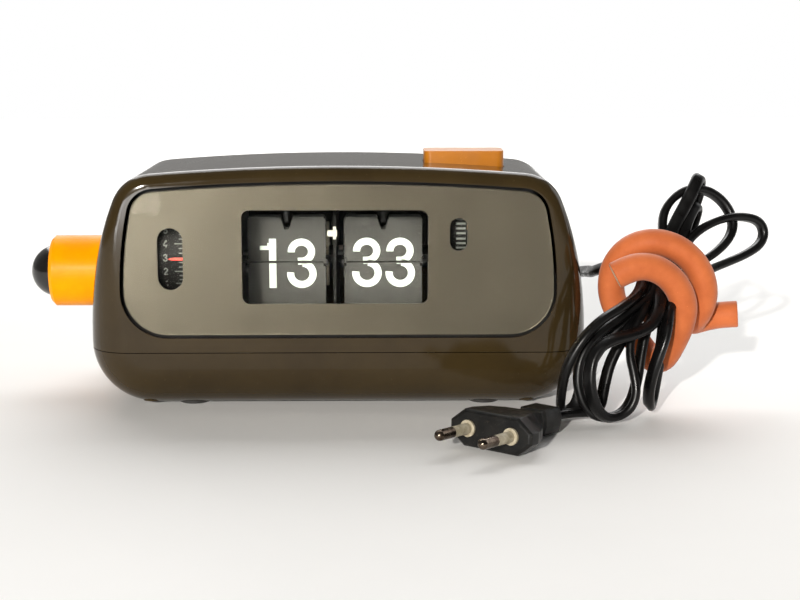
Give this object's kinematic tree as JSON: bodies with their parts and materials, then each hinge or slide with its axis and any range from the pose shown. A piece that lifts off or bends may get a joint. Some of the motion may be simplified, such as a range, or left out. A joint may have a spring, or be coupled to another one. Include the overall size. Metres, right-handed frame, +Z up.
{
  "type": "flip number clock",
  "caption": "Mains flip number clock: bow-sided two-part case, hour and minute flap cards in a window, alarm drum and seconds wheel in slots, side knobs, top bar button, tied lead and plug.",
  "frame": {"origin": "on the resting plane under the middle of the case", "axes": "+X to the clock's right as seen from the front, +Y to its back, +Z up"},
  "size_m": [0.3045, 0.22, 0.0991],
  "materials": {
    "case_brown": "gloss moulded",
    "panel_taupe": "satin lacquered",
    "lens_clear": "clear polished",
    "shroud_black": "matt moulded",
    "foot_rubber": "matt",
    "zinc_steel": "zinc plated",
    "flap_black": "fine grain",
    "pointer_red": "printed",
    "gear_acetal": "moulded",
    "train_brass": "cut",
    "drum_black": "moulded",
    "motor_tin": "drawn tinplate",
    "coil_brown": "taped",
    "knob_orange": "moulded",
    "ball_black": "polished moulded",
    "catch_grey": "moulded",
    "cord_black": "extruded",
    "tie_terracotta": "moulded silicone",
    "pin_metal": "nickel plated, worn",
    "sleeve_cream": "moulded"
  },
  "bodies": {
    "clock": {"alarm_arbor": "zinc_steel", "alarm_pointer": "pointer_red", "alarm_switch": "shroud_black", "buzzer_coil": "coil_brown", "buzzer_reed": "zinc_steel", "case_screws": "zinc_steel", "centre_catch": "catch_grey", "chassis_floor": "zinc_steel", "cord_hank": "cord_black", "cord_tie": "tie_terracotta", "drum_spindle": "zinc_steel", "flap_hooks": "zinc_steel", "frame_left": "zinc_steel", "frame_middle": "shroud_black", "frame_outer": "zinc_steel", "frame_posts": "zinc_steel", "frame_right": "zinc_steel", "frame_screws": "zinc_steel", "front_panel": "panel_taupe", "hour_flaps_fallen": "flap_black", "hour_flaps_waiting": "flap_black", "hour_hinge_carrier": "zinc_steel", "lower_shell": "case_brown", "minute_flaps_fallen": "flap_black", "minute_flaps_waiting": "flap_black", "minute_hinge_carrier": "zinc_steel", "motor_can": "motor_tin", "motor_coil_cover": "coil_brown", "panel_lens": "lens_clear", "plug_body": "cord_black", "plug_pins": "pin_metal", "plug_sleeves": "sleeve_cream", "power_cord": "cord_black", "power_cord_end": "cord_black", "rubber_feet": "foot_rubber", "strain_relief": "cord_black", "terminal_block": "catch_grey", "upper_shell": "case_brown", "window_shroud": "shroud_black"},
    "seconds_train": {"seconds_wheel": "drum_black", "seconds_arbor": "train_brass"},
    "train_a": {"train_wheel_a": "train_brass"},
    "train_b": {"train_wheel_b": "train_brass"},
    "minute_drum": {"minute_drum": "drum_black", "minute_gear": "gear_acetal"},
    "hour_lay_shaft": {"hour_lay_shaft": "gear_acetal"},
    "hour_drum": {"hour_drum": "drum_black", "hour_gear": "gear_acetal"},
    "motor_pinion": {"motor_pinion": "train_brass"},
    "alarm_drum": {"alarm_drum": "drum_black", "alarm_drum_gear": "gear_acetal"},
    "alarm_setting": {"alarm_knob": "knob_orange", "alarm_setting_tube": "gear_acetal"},
    "time_setting": {"time_knob": "ball_black", "time_setting_rod": "zinc_steel"},
    "hour_flap": {"hour_flap_front": "flap_black"},
    "minute_flap": {"minute_flap_front": "flap_black"},
    "alarm_stop_button": {"alarm_stop_button": "knob_orange", "button_spring": "zinc_steel"}
  },
  "joints": [
    {"name": "seconds_spin", "type": "hinge", "parent": "clock", "child": "seconds_train", "pos_m": [0, -0.018, 0.0691], "axis": [1, 0, 0], "continuous": true},
    {"name": "train_a_spin", "type": "hinge", "parent": "clock", "child": "train_a", "pos_m": [0, -0.0034, 0.07254], "axis": [1, 0, 0], "continuous": true},
    {"name": "train_b_spin", "type": "hinge", "parent": "clock", "child": "train_b", "pos_m": [0, 0.01002, 0.06583], "axis": [1, 0, 0], "continuous": true},
    {"name": "minute_drum_spin", "type": "hinge", "parent": "clock", "child": "minute_drum", "pos_m": [0, 0, 0.0557], "axis": [1, 0, 0], "continuous": true},
    {"name": "lay_shaft_spin", "type": "hinge", "parent": "clock", "child": "hour_lay_shaft", "pos_m": [0, 0.015, 0.0557], "axis": [1, 0, 0], "continuous": true},
    {"name": "hour_drum_spin", "type": "hinge", "parent": "clock", "child": "hour_drum", "pos_m": [0, 0, 0.0557], "axis": [1, 0, 0], "continuous": true},
    {"name": "motor_pinion_spin", "type": "hinge", "parent": "clock", "child": "motor_pinion", "pos_m": [0, -0.008, 0.05792], "axis": [1, 0, 0], "continuous": true},
    {"name": "alarm_setting_turn", "type": "hinge", "parent": "clock", "child": "alarm_setting", "pos_m": [0, 0.006, 0.0478], "axis": [1, 0, 0], "continuous": true},
    {"name": "alarm_drum_turn", "type": "hinge", "parent": "clock", "child": "alarm_drum", "pos_m": [0, -0.018, 0.0601], "axis": [1, 0, 0], "continuous": true},
    {"name": "time_setting_turn", "type": "hinge", "parent": "clock", "child": "time_setting", "pos_m": [0, 0.006, 0.0478], "axis": [1, 0, 0], "continuous": true},
    {"name": "hour_flap_fall", "type": "hinge", "parent": "clock", "child": "hour_flap", "pos_m": [0, -0.0225, 0.0557], "axis": [1, 0, 0], "range_deg": [0, 180]},
    {"name": "minute_flap_fall", "type": "hinge", "parent": "clock", "child": "minute_flap", "pos_m": [0, -0.0225, 0.0557], "axis": [1, 0, 0], "range_deg": [0, 180]},
    {"name": "alarm_stop_press", "type": "slide", "parent": "clock", "child": "alarm_stop_button", "axis": [0, 0, -1], "range_m": [0, 0.002], "stiffness_N_per_m": 400, "springref_m": -0.0015}
  ],
  "couplings": [
    {"joint": "train_a_spin", "follows": "seconds_spin", "ratio": -0.25},
    {"joint": "train_b_spin", "follows": "seconds_spin", "ratio": 0.0625},
    {"joint": "minute_drum_spin", "follows": "seconds_spin", "ratio": -0.016667},
    {"joint": "lay_shaft_spin", "follows": "seconds_spin", "ratio": 0.0041667},
    {"joint": "hour_drum_spin", "follows": "seconds_spin", "ratio": -0.00069444},
    {"joint": "motor_pinion_spin", "follows": "seconds_spin", "ratio": -4},
    {"joint": "alarm_drum_turn", "follows": "alarm_setting_turn", "ratio": -0.5}
  ]
}
